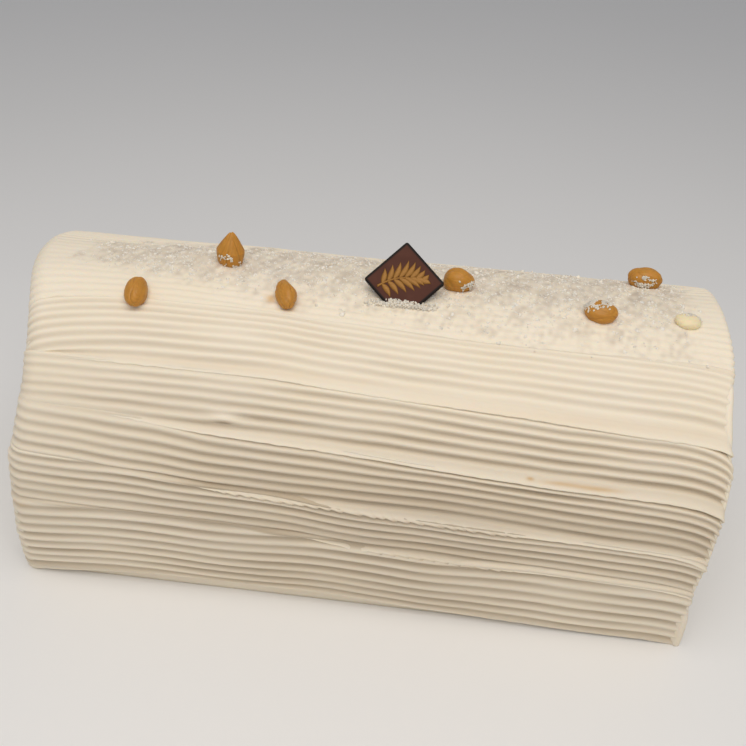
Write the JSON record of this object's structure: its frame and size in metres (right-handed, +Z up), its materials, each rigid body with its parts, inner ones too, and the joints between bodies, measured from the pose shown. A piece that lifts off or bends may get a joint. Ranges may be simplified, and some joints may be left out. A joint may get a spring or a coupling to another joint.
{
  "type": "vacherin",
  "caption": "Log-shaped meringue and ice cream cake coated in combed whipped cream, with crumbs, golden raisins and a square chocolate plaque on top; it rests on its flat base.",
  "frame": {"origin": "centre of the flat base on the surface that the log rests on", "axes": "+X along the log, -Y towards the side shown in the picture, +Z up"},
  "size_m": [0.2494, 0.1183, 0.1279],
  "materials": {
    "whipped_cream": "soft satin whipped cream, combed into fine ridges",
    "golden_raisin": "wrinkled, slightly translucent amber fruit with a soft shine",
    "pale_raisin": "pale golden fruit, half buried in cream",
    "dark_chocolate": "smooth moulded dark chocolate with a satin surface"
  },
  "bodies": {
    "root": {"log": "whipped_cream", "raisin_1": "golden_raisin", "raisin_2": "golden_raisin", "raisin_3": "golden_raisin", "raisin_4": "golden_raisin", "raisin_5": "golden_raisin", "raisin_6": "golden_raisin", "raisin_7": "pale_raisin", "plaque": "dark_chocolate"}
  },
  "joints": []
}
